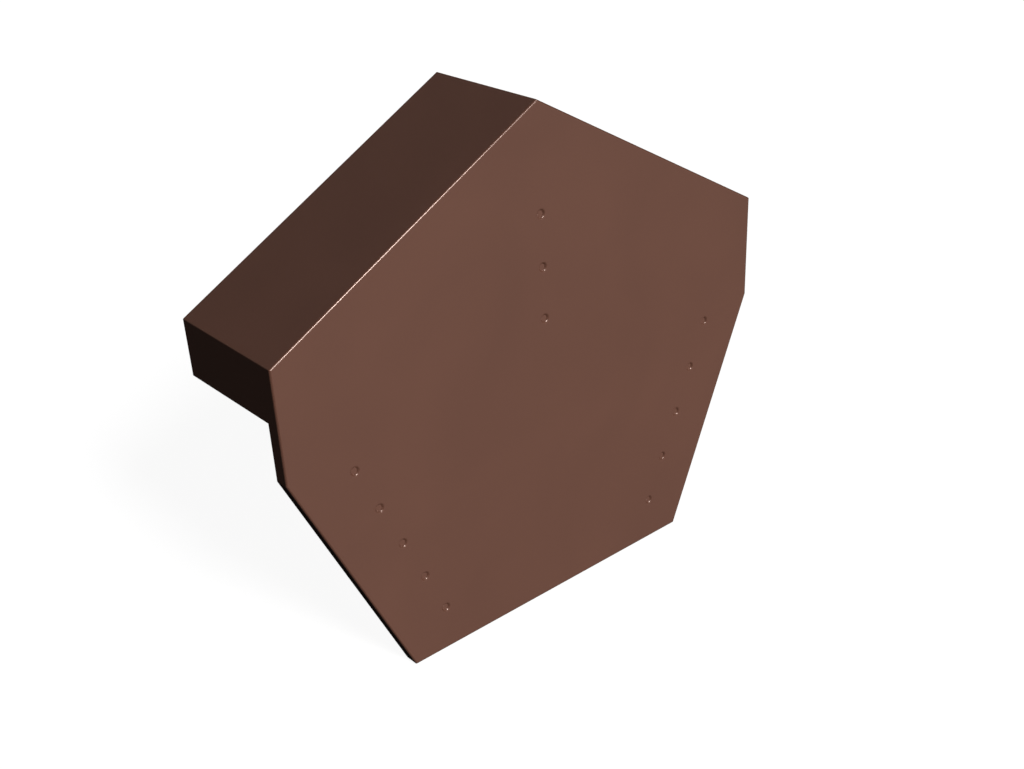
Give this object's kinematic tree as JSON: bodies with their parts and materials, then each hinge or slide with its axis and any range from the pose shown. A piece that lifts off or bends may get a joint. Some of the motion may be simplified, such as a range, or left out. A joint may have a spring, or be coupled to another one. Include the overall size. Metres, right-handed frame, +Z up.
{
  "type": "dry verge ridge cap",
  "caption": "Moulded plastic cap that closes the gable end of a roof ridge: a flat polygonal face with a shallow rim, screw dimples and a pitched hood that covers the last ridge tile.",
  "frame": {"origin": "middle of the bottom edge, in the plane where the rim's rear edge seats", "axes": "+X to the right seen from the front, +Y into the roof along the ridge, +Z up"},
  "size_m": [0.2836, 0.07, 0.2529],
  "materials": {
    "brown_plastic": "smooth satin moulding, through-coloured brown"
  },
  "bodies": {
    "root": {"ridge_cap": "brown_plastic"}
  },
  "joints": []
}
